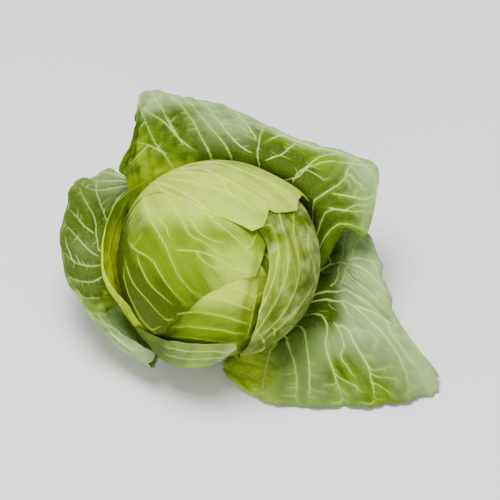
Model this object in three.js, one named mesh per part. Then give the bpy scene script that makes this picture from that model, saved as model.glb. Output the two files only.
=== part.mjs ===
// A head of white cabbage as it is cut and sold: a dense ball of packed leaves on a short
// stump, with loose wrapper leaves opened round it. Millimetres, +Z up. The origin is the
// centre of the stump's cut face, which stands on the table. The open side of the head looks
// up and towards -Y.
import * as THREE from "three";

// Driving dimensions
const HEAD_HEIGHT = 90; // centre of the ball above the cut face
const HEAD_FLATNESS = 0.93; // height of the ball over its width
const HEART_RADIUS = 78;
const LEAF_STEP = 1.6; // from the middle of one packed leaf to the next
const PACKED_BLADE = 0.8; // thickness of a packed leaf
const WRAPPER_BLADE = 1.1; // thickness of a wrapper leaf
const VEIN_RELIEF = 0.35; // side ribs of a packed leaf
const WRAPPER_VEIN_RELIEF = 0.8;
const MIDRIB_RELIEF = 3; // midrib of an open wrapper at its foot
const FOOT_SPREAD = 28; // degrees of the stump that half an open wrapper's foot takes
const STUMP_RADIUS = 15.5;
const STUMP_CHAMFER = 1.5;
const CLEARANCE = 0.4; // between pieces that touch

// Mid-surface radius of each leaf's layer on the ball
const LAYER = {
  front: HEART_RADIUS + 1.1 * LEAF_STEP,
  left: HEART_RADIUS + 2.1 * LEAF_STEP,
  right: HEART_RADIUS + 3.1 * LEAF_STEP,
  top: HEART_RADIUS + 4.1 * LEAF_STEP,
  collar: HEART_RADIUS + 8.6,
  bract: HEART_RADIUS + 10.6,
  innerWrapper: HEART_RADIUS + 11.5,
  outerWrapper: HEART_RADIUS + 15,
};

// The fold where the ball sinks in beside the free margin of the right leaf
const SEAM = {
  azimuth: -30,
  margin: [[58, -41], [91, -41], [112, -35], [128, -24], [140, -11], [148, -6]],
  beside: 2,
  depth: 4,
  openWidth: 6,
  coveredWidth: 26,
};

const COLOUR = {
  stump: 0xd8d6a4,
  heart: 0xc9d48c,
  packed: 0xb4c66a,
  collar: 0x93a51e,
  wrapper: 0x7f9c4a,
};

const { clamp, degToRad, radToDeg, lerp, smoothstep } = THREE.MathUtils;

// Value at x of the straight-line graph through [x, value] pairs, in rising x.
function graph(pairs, x) {
  const last = pairs.length - 1;
  if (x <= pairs[0][0]) return pairs[0][1];
  if (x >= pairs[last][0]) return pairs[last][1];
  const i = pairs.findIndex((pair, k) => k < last && x < pairs[k + 1][0]);
  const share = (x - pairs[i][0]) / (pairs[i + 1][0] - pairs[i][0]);
  return lerp(pairs[i][1], pairs[i + 1][1], share);
}

// Point at t (0 to 1) of the Catmull-Rom curve through a list of Vector3.
function curvePoint(points, t) {
  const last = points.length - 1;
  const place = clamp(t, 0, 1) * last;
  const i = Math.min(Math.floor(place), last - 1);
  const f = place - i;
  const reflect = (end, inner) => end.clone().multiplyScalar(2).sub(inner);
  const before = i > 0 ? points[i - 1] : reflect(points[0], points[1]);
  const after = i + 2 <= last ? points[i + 2] : reflect(points[last], points[last - 1]);
  const weights = [
    -0.5 * f + f ** 2 - 0.5 * f ** 3,
    1 - 2.5 * f ** 2 + 1.5 * f ** 3,
    0.5 * f + 2 * f ** 2 - 1.5 * f ** 3,
    -0.5 * f ** 2 + 0.5 * f ** 3,
  ];
  const sum = new THREE.Vector3();
  [before, points[i], points[i + 1], after].forEach((p, k) => sum.addScaledVector(p, weights[k]));
  return sum;
}

// Unit direction `arc` degrees from the stump up the meridian at `azimuth`, then `across`
// degrees to the side, counter-clockwise from above.
function heading(azimuth, arc, across = 0) {
  const [a, s, w] = [azimuth, arc, across].map(degToRad);
  const out = Math.cos(w) * Math.sin(s);
  return new THREE.Vector3(
    out * Math.cos(a) - Math.sin(w) * Math.sin(a),
    out * Math.sin(a) + Math.sin(w) * Math.cos(a),
    -Math.cos(w) * Math.cos(s),
  );
}

// How far the layers under the right leaf sink in along this direction.
function seamDepth(direction) {
  const [x, y] = [Math.cos(degToRad(SEAM.azimuth)), Math.sin(degToRad(SEAM.azimuth))];
  const arc = radToDeg(Math.atan2(direction.x * x + direction.y * y, -direction.z));
  const across = radToDeg(Math.asin(clamp(direction.y * x - direction.x * y, -1, 1)));
  const aside = across - graph(SEAM.margin, arc) + SEAM.beside;
  const width = aside < 0 ? SEAM.openWidth : SEAM.coveredWidth;
  const along = smoothstep(arc, 48, 74) * (1 - smoothstep(arc, 142, 175));
  return SEAM.depth * along * Math.exp(-((aside / width) ** 2));
}

// Point of the flattened ball in this direction. `press` is how much of the seam's depth the
// layer takes.
function ballPoint(radius, direction, press = 0) {
  const reach = press ? radius - press * seamDepth(direction) : radius;
  return new THREE.Vector3(
    reach * direction.x,
    reach * direction.y,
    HEAD_HEIGHT + HEAD_FLATNESS * reach * direction.z,
  );
}

// Where a leaf of this layer starts, in degrees of arc, to clear the stump.
function footArc(layer) {
  return radToDeg(Math.asin((STUMP_RADIUS + CLEARANCE) / (layer - WRAPPER_BLADE)));
}

// The surface drawn in at its margins to rounded lobes, `depth` as a share of the blade, and
// waved by `height` mm across its face towards the rim.
function ruffled(surface, { rimLobes, sideLobes = 0, depth, waves = 0, height = 0 }) {
  const notch = (t, lobes) => (1 - Math.abs(Math.sin(Math.PI * lobes * t)) ** 0.6) * depth;
  const nudge = 1e-3;
  return (u, v) => {
    const along = v * (1 - notch(u, rimLobes));
    const across = 0.5 + (u - 0.5) * (1 - (sideLobes ? notch(v, sideLobes) * v : 0));
    const point = surface(across, along);
    if (!height) return point;
    const acrossDir = surface(across + nudge, along).sub(surface(across - nudge, along));
    const alongDir = surface(across, along + nudge).sub(surface(across, along - nudge));
    const swell = height * smoothstep(along, 0.55, 1) * Math.sin(2 * Math.PI * waves * u);
    return point.addScaledVector(alongDir.cross(acrossDir).normalize(), swell);
  };
}

// A closed leaf solid over a surface (u clockwise across it as seen from above, v from foot to
// tip, both 0 to 1). The outer face carries `veins` side ribs `relief` mm high, and a midrib
// at u = 0.5 that is `rib` mm high at the foot and `ribWidth` of the blade's width.
function leafSolid({ surface, across, along, blade, veins, relief, rib = 0, ribWidth = 0.07 }) {
  const nudge = 1e-3;
  const faces = [[], []];
  for (let j = 0; j <= along; j++) {
    for (let i = 0; i <= across; i++) {
      const u = i / across;
      const v = j / along;
      const point = surface(u, v);
      const acrossDir = surface(u + nudge, v).sub(surface(u - nudge, v));
      const alongDir = surface(u, v + nudge).sub(surface(u, v - nudge));
      const outward = alongDir.cross(acrossDir).normalize();
      const midrib = rib * (1 - v) ** 1.2 * Math.exp(-(((u - 0.5) / ribWidth) ** 2));
      const vein = relief * (1 - v ** 2) * Math.cos(Math.PI * veins * u) ** 8;
      faces[0].push(point.clone().addScaledVector(outward, blade / 2 + midrib + vein));
      faces[1].push(point.clone().addScaledVector(outward, -blade / 2));
    }
  }
  const columns = across + 1;
  const count = columns * (along + 1);
  const index = [];
  const quad = (a, b, c, d) => index.push(a, b, c, a, c, d);
  for (let j = 0; j < along; j++) {
    for (let i = 0; i < across; i++) {
      const a = j * columns + i;
      const [b, c, d] = [a + columns, a + columns + 1, a + 1];
      quad(a, b, c, d);
      index.push(count + a, count + c, count + b, count + a, count + d, count + c);
    }
  }
  const rim = [];
  for (let i = 0; i < across; i++) rim.push(i);
  for (let j = 0; j < along; j++) rim.push(j * columns + across);
  for (let i = across; i > 0; i--) rim.push(along * columns + i);
  for (let j = along; j > 0; j--) rim.push(j * columns);
  rim.forEach((here, k) => {
    const next = rim[(k + 1) % rim.length];
    quad(here, next, next + count, here + count);
  });
  const geometry = new THREE.BufferGeometry().setFromPoints(faces.flat());
  geometry.setIndex(index);
  return geometry;
}

const cabbage = new THREE.Group();

function addPiece(name, geometry, color, roughness = 0.5) {
  geometry.computeVertexNormals();
  const material = new THREE.MeshStandardMaterial({ color, roughness, metalness: 0 });
  const mesh = new THREE.Mesh(geometry, material);
  mesh.name = name;
  cabbage.add(mesh);
}

// Leaves that lie on the ball, each in its own layer. `widths` lists [share of the length,
// across to the left edge, across to the right edge] and `tips` lists [across, arc where the
// blade ends], all in degrees. `lift` raises the blade off its layer, in mm.

function packedSurface({ layer, azimuth, widths, tips, lift = () => 0, press = 0 }) {
  const start = footArc(layer);
  const lefts = widths.map(([share, left]) => [share, left]);
  const rights = widths.map(([share, , right]) => [share, right]);
  return (u, v) => {
    const across = lerp(graph(lefts, v), graph(rights, v), u);
    const arc = lerp(start, graph(tips, across), v);
    return ballPoint(layer + lift(across, v), heading(azimuth, arc, across), press);
  };
}

const packedLeaves = {
  head_leaf_front: {
    layer: LAYER.front,
    azimuth: -95,
    press: 1.4,
    widths: [[0, 6, -6], [0.25, 34, -38], [0.55, 42, -46], [0.8, 42, -42], [1, 30, -26]],
    tips: [[-46, 134], [42, 140]],
    across: 20,
    along: 12,
  },
  head_leaf_left: {
    layer: LAYER.left,
    azimuth: 180,
    press: 1,
    widths: [
      [0, 6, -6], [0.17, 38, -30], [0.33, 60, -38], [0.5, 67, -40], [0.62, 68, -36],
      [0.75, 64, -22], [0.86, 58, -6], [0.93, 52, 6], [1, 47, 14],
    ],
    tips: [[-40, 205], [0, 212], [50, 216], [68, 208]],
    across: 16,
    along: 18,
  },
  head_leaf_right: {
    layer: LAYER.right,
    azimuth: -30,
    widths: [
      [0, 6, -6], [0.2, 30, -32], [0.34, 48, -42], [0.55, 60, -41], [0.7, 60, -35],
      [0.78, 58, -28], [0.85, 55, -17], [0.93, 48, -9], [1, 38, -6],
    ],
    tips: [[-43, 148], [-5, 151], [10, 158], [36, 158], [60, 146]],
    lift: (across, v) =>
      1.5 * smoothstep(v, 0.3, 0.5) * (1 - smoothstep(v, 0.78, 0.9)) * smoothstep(-across, 4, 28),
    across: 16,
    along: 15,
  },
  head_leaf_top: {
    layer: LAYER.top,
    azimuth: 142,
    widths: [
      [0, 6, -6], [0.18, 26, -40], [0.38, 26, -56], [0.54, 12, -60], [0.66, 11, -62],
      [0.79, 15, -62], [0.88, 14, -61], [1, 7, -57],
    ],
    tips: [
      [-60, 221], [-54, 226], [-46, 216], [-36, 216], [-32, 218], [-28, 220], [-20, 216],
      [-13, 212], [-11, 208], [-6, 211], [0, 213], [6, 211], [26, 206],
    ],
    lift: (across, v) => 4.5 * smoothstep(v, 0.8, 1) * smoothstep(-across, 8, 55),
    across: 20,
    along: 18,
  },
};

for (const [name, leaf] of Object.entries(packedLeaves)) {
  const { across, along } = leaf;
  const solid = leafSolid({
    surface: packedSurface(leaf),
    across,
    along,
    blade: PACKED_BLADE,
    veins: across / 4,
    relief: VEIN_RELIEF,
  });
  addPiece(name, solid, COLOUR.packed, 0.45);
}

// Collar: the innermost wrapper, hugging the left of the ball with its rim turned out.
{
  const rimFlare = 9;
  const surface = packedSurface({
    layer: LAYER.collar,
    azimuth: 180,
    widths: [[0, 6, -6], [0.3, 26, -16], [0.6, 40, -26], [1, 46, -32]],
    tips: [[-32, 128], [-23, 118], [-4, 109], [11, 103], [24, 94], [34, 86], [40, 76], [46, 62]],
    lift: (across, v) =>
      rimFlare * smoothstep(v, 0.7, 1) * (1 - smoothstep(Math.abs(across + 1), 15, 37)),
  });
  const solid = leafSolid({
    surface,
    across: 16,
    along: 12,
    blade: WRAPPER_BLADE,
    veins: 4,
    relief: VEIN_RELIEF,
  });
  addPiece("collar_leaf", solid, COLOUR.collar);
}

// Front wrapper: a short torn leaf under the front of the ball, its broken end to the right.
{
  const standOff = [[-33, 0], [-24, 1], [-14, 5.5], [-8, 6], [4, 2], [15, -2], [28, -2.5]];
  const surface = packedSurface({
    layer: LAYER.bract,
    azimuth: -108,
    widths: [
      [0, 6, -6], [0.35, 8, -24], [0.6, 12, -33], [0.8, 22, -35], [0.92, 28, -33], [1, 28, -31],
    ],
    tips: [[-35, 72], [-21, 77], [-11, 80], [-4, 83], [7, 85], [19, 85], [25, 84], [29, 82]],
    lift: (across, v) => graph(standOff, across) * smoothstep(v, 0.2, 0.6),
  });
  const solid = leafSolid({
    surface,
    across: 16,
    along: 10,
    blade: WRAPPER_BLADE,
    veins: 4,
    relief: VEIN_RELIEF,
  });
  addPiece("front_wrapper", solid, COLOUR.wrapper);
}

// Open wrappers: the foot hugs the underside of the ball, then the blade opens through a net
// of points. Rows of a net run from the ball out to the rim, its columns clockwise as seen
// from above. `clasp` lists, for each column, the [azimuth, arc] in degrees where the blade
// leaves the ball.

const openWrappers = {
  back_wrapper: {
    layer: LAYER.innerWrapper,
    azimuth: 77,
    clasp: [
      [144, 80], [129, 83], [109, 84], [89, 84], [67, 84], [46, 84], [31, 82], [23, 76], [12, 68],
    ],
    net: [
      [[-74, 53, 127], [-56, 68, 118], [-27, 80, 122], [2, 82, 125], [32, 75, 128],
        [59, 62, 123], [77, 47, 116], [87, 38, 110], [103, 23, 101]],
      [[-81, 58, 137], [-59, 80, 140], [-31, 90, 142], [2, 95, 140], [35, 87, 136],
        [67, 74, 130], [96, 61, 123], [109, 46, 114], [118, 15, 100]],
      [[-71, 70, 154], [-60, 95, 160], [-31, 104, 157], [2, 107, 147], [36, 100, 139],
        [72, 85, 132], [103, 77, 126], [120, 58, 119], [127, 37, 108]],
      [[-66, 88, 168], [-60, 112, 172], [-31, 114, 165], [2, 116, 154], [36, 107, 142],
        [72, 93, 134], [103, 88, 128], [128, 78, 123], [130, 59, 115]],
      [[-69, 98, 150], [-59, 128, 148], [-30, 131, 140], [2, 133, 129], [37, 122, 119],
        [73, 106, 112], [104, 99, 108], [129, 86, 104], [129, 63, 102]],
    ],
    ruffle: { rimLobes: 8, sideLobes: 4, depth: 0.03 },
    across: 32,
    along: 16,
  },
  right_wrapper: {
    layer: LAYER.outerWrapper,
    azimuth: -10,
    clasp: [[34, 64], [27, 54], [17, 46], [8, 42], [-1, 40], [-9, 37], [-27, 29], [-52, 19]],
    net: [
      [[94, 64, 68], [94, 48, 48], [95, 29, 38], [94, 13, 34], [89, -1, 31], [78, -12, 27],
        [53, -27, 20], [18, -25, 10]],
      [[109, 50, 73], [113, 24, 64], [117, 3, 53], [121, -20, 41], [109, -39, 28],
        [87, -46, 21], [49, -49, 12], [7, -28, 6]],
      [[122, 39, 70], [134, 11, 60], [143, -20, 46], [156, -37, 27], [132, -62, 14],
        [93, -63, 9], [45, -63, 6], [3, -38, 4]],
      [[124, 55, 38], [135, 25, 27], [147, -8, 15], [182, -60, 4], [143, -80, 4], [96, -83, 4],
        [41, -78, 4], [4, -49, 4]],
    ],
    ruffle: { rimLobes: 10, depth: 0.03, waves: 9, height: 1.5 },
    across: 40,
    along: 14,
  },
  left_wrapper: {
    layer: LAYER.outerWrapper,
    azimuth: 175,
    clasp: [
      [215, 24], [201, 34], [188, 46], [183, 60], [173, 66], [162, 70], [150, 74], [141, 80], [136, 86],
    ],
    net: [
      [[-46, -32, 16], [-66, -25, 28], [-87, -12, 42], [-92, -8, 67], [-94, 11, 77],
        [-92, 29, 85], [-86, 49, 95], [-75, 60, 105], [-67, 65, 114]],
      [[-49, -45, 18], [-73, -36, 32], [-94, -22, 48], [-100, -12, 68], [-104, 8, 80],
        [-101, 28, 90], [-96, 49, 102], [-85, 63, 110], [-75, 70, 116]],
      [[-52, -59, 25], [-85, -40, 38], [-104, -24, 53], [-109, -8, 67], [-114, 11, 82],
        [-111, 32, 93], [-107, 52, 108], [-95, 66, 113], [-83, 74, 118]],
      [[-53, -65, 33], [-85, -43, 45], [-106, -25, 58], [-118, -1, 66], [-124, 19, 81],
        [-121, 45, 93], [-114, 64, 110], [-100, 72, 113], [-87, 80, 117]],
      [[-49, -57, 42], [-73, -49, 52], [-97, -36, 60], [-124, 3, 64], [-130, 27, 79],
        [-128, 54, 91], [-120, 73, 107], [-103, 77, 112], [-89, 82, 116]],
    ],
    ruffle: { rimLobes: 9, depth: 0.02, waves: 5, height: 1 },
    across: 36,
    along: 15,
  },
};

function openSurface({ layer, azimuth, clasp, net }) {
  const hugging = [0, 0.5, 1].map((share) =>
    clasp.map(([leaving, arc], i) => {
      const foot = azimuth + FOOT_SPREAD * (1 - (2 * i) / (clasp.length - 1));
      return ballPoint(layer, heading(lerp(foot, leaving, share), lerp(footArc(layer), arc, share)));
    }),
  );
  const rows = [...hugging, ...net.map((row) => row.map((p) => new THREE.Vector3(...p)))];
  return (u, v) => curvePoint(rows.map((row) => curvePoint(row, u)), v);
}

for (const [name, leaf] of Object.entries(openWrappers)) {
  const { across, along } = leaf;
  const solid = leafSolid({
    surface: ruffled(openSurface(leaf), leaf.ruffle),
    across,
    along,
    blade: WRAPPER_BLADE,
    veins: across / 4,
    relief: WRAPPER_VEIN_RELIEF,
    rib: MIDRIB_RELIEF,
  });
  addPiece(name, solid, COLOUR.wrapper);
}

// Heart: the packed inner leaves as one ball, its surface stepped by their overlapping edges.
{
  const folds = 5;
  const stepDepth = 1.6;
  const slant = 1.2;
  const heart = new THREE.SphereGeometry(1, 36, 20);
  heart.rotateX(Math.PI / 2);
  const place = heart.getAttribute("position");
  for (let k = 0; k < place.count; k++) {
    const direction = new THREE.Vector3().fromBufferAttribute(place, k);
    const turn = (Math.atan2(direction.y, direction.x) * folds) / (2 * Math.PI);
    const leaf = turn + slant * direction.z;
    const nearPole = Math.sqrt(Math.max(0, 1 - direction.z ** 2));
    const step = nearPole * stepDepth * (leaf - Math.floor(leaf)) ** 3;
    const point = ballPoint(HEART_RADIUS - step, direction, 1.9);
    place.setXYZ(k, point.x, point.y, point.z);
  }
  addPiece("heart", heart, COLOUR.heart);
}

// Stump: cut square across, its edge rounded off by a chamfer.
{
  const top = HEAD_HEIGHT - HEAD_FLATNESS * HEART_RADIUS - CLEARANCE;
  const profile = [
    [0, 0],
    [STUMP_RADIUS - STUMP_CHAMFER, 0],
    [STUMP_RADIUS, STUMP_CHAMFER],
    [STUMP_RADIUS - 0.5, top * 0.6],
    [STUMP_RADIUS - 2, top],
    [0, top],
  ].map(([r, z]) => new THREE.Vector2(r, z));
  const stump = new THREE.LatheGeometry(profile, 24);
  stump.rotateX(Math.PI / 2);
  addPiece("stump", stump, COLOUR.stump, 0.7);
}

export default cabbage;
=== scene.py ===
"""The looks of a whole cabbage head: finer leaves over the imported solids, with their veins,
wax and colours, on a pale studio floor. Lengths are in mm until a mesh is made in metres."""

import math

import bpy
import numpy as np
from bpy.props import FloatProperty, FloatVectorProperty, PointerProperty
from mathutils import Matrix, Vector
from mathutils.kdtree import KDTree


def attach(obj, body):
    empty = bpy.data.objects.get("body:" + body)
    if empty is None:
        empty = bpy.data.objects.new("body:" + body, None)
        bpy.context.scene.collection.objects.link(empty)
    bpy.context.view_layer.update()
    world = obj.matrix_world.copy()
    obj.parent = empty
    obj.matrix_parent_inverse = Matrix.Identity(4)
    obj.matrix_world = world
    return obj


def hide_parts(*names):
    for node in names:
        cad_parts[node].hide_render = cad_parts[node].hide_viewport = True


bl_info = {
    "name": "Cabbage head",
    "version": (1, 0, 0),
    "blender": (4, 5, 0),
    "location": "3D View > Sidebar > Cabbage",
    "description": "Builds the leaves, stump and studio of a cabbage head",
    "category": "Add Mesh",
}

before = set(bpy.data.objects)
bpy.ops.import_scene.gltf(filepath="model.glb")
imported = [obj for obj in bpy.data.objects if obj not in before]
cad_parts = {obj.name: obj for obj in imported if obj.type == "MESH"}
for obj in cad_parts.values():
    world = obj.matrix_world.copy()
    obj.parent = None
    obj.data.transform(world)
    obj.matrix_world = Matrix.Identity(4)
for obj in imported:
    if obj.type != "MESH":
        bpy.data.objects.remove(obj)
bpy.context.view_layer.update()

MM = 0.001

# Form of the head, in mm and degrees
HEAD_HEIGHT = 90.0
HEAD_FLATNESS = 0.93
HEART_RADIUS = 78.0
HEART_FOLDS = 5
HEART_STEP = 1.6
HEART_SLANT = 1.2
HEART_PRESS = 1.9
LEAF_STEP = 1.6
PACKED_BLADE = 0.8
WRAPPER_BLADE = 1.1
FOOT_SPREAD = 28.0
STUMP_RADIUS = 15.5
STUMP_CHAMFER = 1.5
CLEARANCE = 0.4
SETTLED_WIDTH = 16.0
LAYER = {
    "front": HEART_RADIUS + 1.1 * LEAF_STEP,
    "left": HEART_RADIUS + 2.1 * LEAF_STEP,
    "right": HEART_RADIUS + 3.1 * LEAF_STEP,
    "top": HEART_RADIUS + 4.1 * LEAF_STEP,
    "collar": HEART_RADIUS + 8.6,
    "bract": HEART_RADIUS + 10.6,
    "inner_wrapper": HEART_RADIUS + 11.5,
    "outer_wrapper": HEART_RADIUS + 15.0,
}
SEAM_AZIMUTH = -30.0
SEAM_MARGIN = [(58, -41), (91, -41), (112, -35), (128, -24), (140, -11), (148, -6)]
SEAM_BESIDE = 2.0
SEAM_DEPTH = 4.0
SEAM_OPEN_WIDTH = 6.0
SEAM_COVERED_WIDTH = 26.0

BULGE_AZIMUTH = -128.0
BULGE_ARC = 70.0
BULGE_HEIGHT = 3.2
BULGE_SPREAD = 26.0

# The view that the vein courses were read in
VIEW_DISTANCE = 2000.0
VIEW_ELEVATION = math.radians(45)
MM_PER_PIXEL = 0.81
BALL_PIXEL = (218.0, 260.4)
IMAGE_SIDE = 500

VIEW_FORWARD = np.array([0, math.cos(VIEW_ELEVATION), -math.sin(VIEW_ELEVATION)])
VIEW_UP = np.array([0, math.sin(VIEW_ELEVATION), math.cos(VIEW_ELEVATION)])
VIEW_RIGHT = np.array([1.0, 0, 0])
BALL_CENTRE = np.array([0, 0, HEAD_HEIGHT])


# Directions that a leaf's streaks run in, where that is not along the leaf
GRAIN = {"head_leaf_left": 0.55 * VIEW_RIGHT - 0.83 * VIEW_UP, "head_leaf_front": VIEW_RIGHT}


# Geometry helpers


def smoothstep(x, low, high):
    t = np.clip((x - low) / (high - low), 0, 1)
    return t * t * (3 - 2 * t)


def graph(pairs, x):
    """Value at x of the straight-line graph through (x, value) pairs."""
    xs, ys = zip(*pairs)
    return np.interp(x, xs, ys)


def spline(f):
    """Catmull-Rom weights of the four points round a place a share f past the second one."""
    return [
        -0.5 * f + f**2 - 0.5 * f**3,
        1 - 2.5 * f**2 + 1.5 * f**3,
        0.5 * f + 2 * f**2 - 1.5 * f**3,
        -0.5 * f**2 + 0.5 * f**3,
    ]


def curve(points, t):
    """Points at t (0 to 1, any array) of the Catmull-Rom curve through points along axis 0."""
    points = np.asarray(points, float)
    padded = np.stack([2 * points[0] - points[1], *points, 2 * points[-1] - points[-2]])
    last = len(points) - 1
    place = np.clip(t, 0, 1) * last
    i = np.minimum(place.astype(int), last - 1)
    f = (place - i)[..., None]
    return sum(w * padded[i + k] for k, w in enumerate(spline(f)))


def curve_sheet(rows, u, v):
    """Points of the sheet through rows of points, u along each row and v across the rows."""
    flat_u, flat_v = u.ravel(), v.ravel()
    lines = np.stack([curve(row, flat_u) for row in rows])
    last = len(rows) - 1
    padded = np.concatenate([[2 * lines[0] - lines[1]], lines, [2 * lines[-1] - lines[-2]]])
    place = np.clip(flat_v, 0, 1) * last
    i = np.minimum(place.astype(int), last - 1)
    f = (place - i)[:, None]
    across = np.arange(len(flat_u))
    points = sum(w * padded[i + k, across] for k, w in enumerate(spline(f)))
    return points.reshape(*u.shape, 3)


def heading(azimuth, arc, across=0.0):
    """Unit direction arc degrees from the stump up the meridian, then across to the side."""
    a, s, w = (np.radians(np.asarray(x, float)) for x in (azimuth, arc, across))
    out = np.cos(w) * np.sin(s)
    x = out * np.cos(a) - np.sin(w) * np.sin(a)
    y = out * np.sin(a) + np.sin(w) * np.cos(a)
    return np.stack(np.broadcast_arrays(x, y, -np.cos(w) * np.cos(s)), -1)


def seam_depth(direction):
    """How deep the leaves under the right leaf's free margin are pressed in, in mm."""
    a = math.radians(SEAM_AZIMUTH)
    x, y = math.cos(a), math.sin(a)
    arc = np.degrees(np.arctan2(direction[..., 0] * x + direction[..., 1] * y, -direction[..., 2]))
    side = np.clip(direction[..., 1] * x - direction[..., 0] * y, -1, 1)
    aside = np.degrees(np.arcsin(side)) - graph(SEAM_MARGIN, arc) + SEAM_BESIDE
    width = np.where(aside < 0, SEAM_OPEN_WIDTH, SEAM_COVERED_WIDTH)
    along = smoothstep(arc, 48, 74) * (1 - smoothstep(arc, 142, 175))
    return SEAM_DEPTH * along * np.exp(-((aside / width) ** 2))


def bulge(direction):
    """How far the leaves low on the left of the ball swell towards the short front wrapper."""
    turned = np.degrees(np.arccos(np.clip(direction @ heading(BULGE_AZIMUTH, BULGE_ARC), -1, 1)))
    return BULGE_HEIGHT * np.exp(-((turned / BULGE_SPREAD) ** 2))


def ball_point(radius, direction, press=0.0):
    """Points of the slightly flat ball, `press` times the depth of the seam further in."""
    reach = radius - press * seam_depth(direction)
    point = direction * np.asarray(reach)[..., None]
    point[..., 2] = HEAD_HEIGHT + HEAD_FLATNESS * point[..., 2]
    return point


def foot_arc(layer):
    """Arc in degrees at which a leaf of this layer meets the stump."""
    return math.degrees(math.asin((STUMP_RADIUS + CLEARANCE) / (layer - WRAPPER_BLADE)))


def ripple(x, y, seed, size, octaves=3):
    """Smooth irregular waves from about -1 to 1 over x and y, `size` the length of the longest."""
    rng = np.random.default_rng(seed)
    total = np.zeros(np.broadcast(x, y).shape)
    for octave in range(octaves):
        for _ in range(5):
            turn, phase = rng.uniform(0, 2 * math.pi, 2)
            reach = 2 * math.pi / size * 2**octave * rng.uniform(0.7, 1.3)
            wave = np.sin(reach * (x * math.cos(turn) + y * math.sin(turn)) + phase)
            total += wave * 0.5**octave
    return total / 3.0


def photo_pixels(points):
    """(x, y, depth) of points in the view's own pixels."""
    eye = BALL_CENTRE - VIEW_FORWARD * VIEW_DISTANCE
    away = points - eye
    depth = away @ VIEW_FORWARD
    scale = VIEW_DISTANCE / depth / MM_PER_PIXEL
    return BALL_PIXEL[0] + away @ VIEW_RIGHT * scale, BALL_PIXEL[1] - away @ VIEW_UP * scale, depth


# Leaf surfaces: u runs clockwise across the leaf as seen from above, v from foot to tip


def packed_surface(layer, azimuth, widths, tips, lift=None, press=0.0, settle=0.0, swollen=False):
    """A leaf on the ball. `settle` is how far its left margin sinks onto the leaf below."""
    start = foot_arc(layer)
    lefts = [(share, left) for share, left, _ in widths]
    rights = [(share, right) for share, _, right in widths]

    def surface(u, v):
        across = graph(lefts, v) * (1 - u) + graph(rights, v) * u
        arc = start + (graph(tips, across) - start) * v
        raised = lift(across, v) if lift else 0.0
        inwards = (graph(lefts, v) - across) * math.radians(layer)
        along = smoothstep(v, 0.35, 0.55) * (1 - smoothstep(v, 0.92, 1))
        sunk = settle * (1 - smoothstep(inwards, 0, SETTLED_WIDTH)) * along
        direction = heading(azimuth, arc, across)
        if swollen:
            raised = raised + bulge(direction)
        return ball_point(layer + raised - sunk, direction, press)

    return surface


def open_surface(layer, azimuth, clasp, net):
    """A leaf that hugs the underside of the ball up to the [azimuth, arc] pairs of `clasp` and
    opens through the rows of points of `net`."""
    last = len(clasp) - 1
    hugging = []
    for share in (0.0, 0.5, 1.0):
        row = []
        for i, (leaving, arc) in enumerate(clasp):
            foot = azimuth + FOOT_SPREAD * (1 - 2 * i / last)
            turn = foot + (leaving - foot) * share
            rise = foot_arc(layer) + (arc - foot_arc(layer)) * share
            row.append(ball_point(layer, heading(turn, rise)))
        hugging.append(row)
    rows = [*hugging, *net]
    return lambda u, v: curve_sheet(rows, u, v)


def ruffled(surface, seed, rim_lobes, side_lobes, depth, waves, height):
    """The surface drawn in to uneven rounded lobes at its margins and waved towards the rim."""

    def notch(t, lobes, shift):
        uneven = t + 0.35 / lobes * ripple(t * lobes, 0 * t, seed + shift, 4, 1)
        large = 1 - np.abs(np.sin(math.pi * lobes * uneven)) ** 0.6
        small = 1 - np.abs(np.sin(math.pi * lobes * 2.7 * uneven + shift)) ** 0.7
        return (large + 0.4 * small) * depth

    def drawn_in(u, v):
        along = v * (1 - notch(u, rim_lobes, 0))
        across = 0.5 + (u - 0.5) * (1 - notch(v, side_lobes, 3) * v)
        return surface(across, along), across, along

    def waved(u, v):
        point, across, along = drawn_in(u, v)
        if not height:
            return point
        nudge = 1e-3
        across_dir = surface(across + nudge, along) - surface(across - nudge, along)
        along_dir = surface(across, along + nudge) - surface(across, along - nudge)
        outward = np.cross(along_dir, across_dir)
        outward /= np.linalg.norm(outward, axis=-1, keepdims=True) + 1e-9
        swell = height * smoothstep(along, 0.55, 1) * np.sin(2 * math.pi * waves * u)
        return point + outward * swell[..., None]

    return waved


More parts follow.
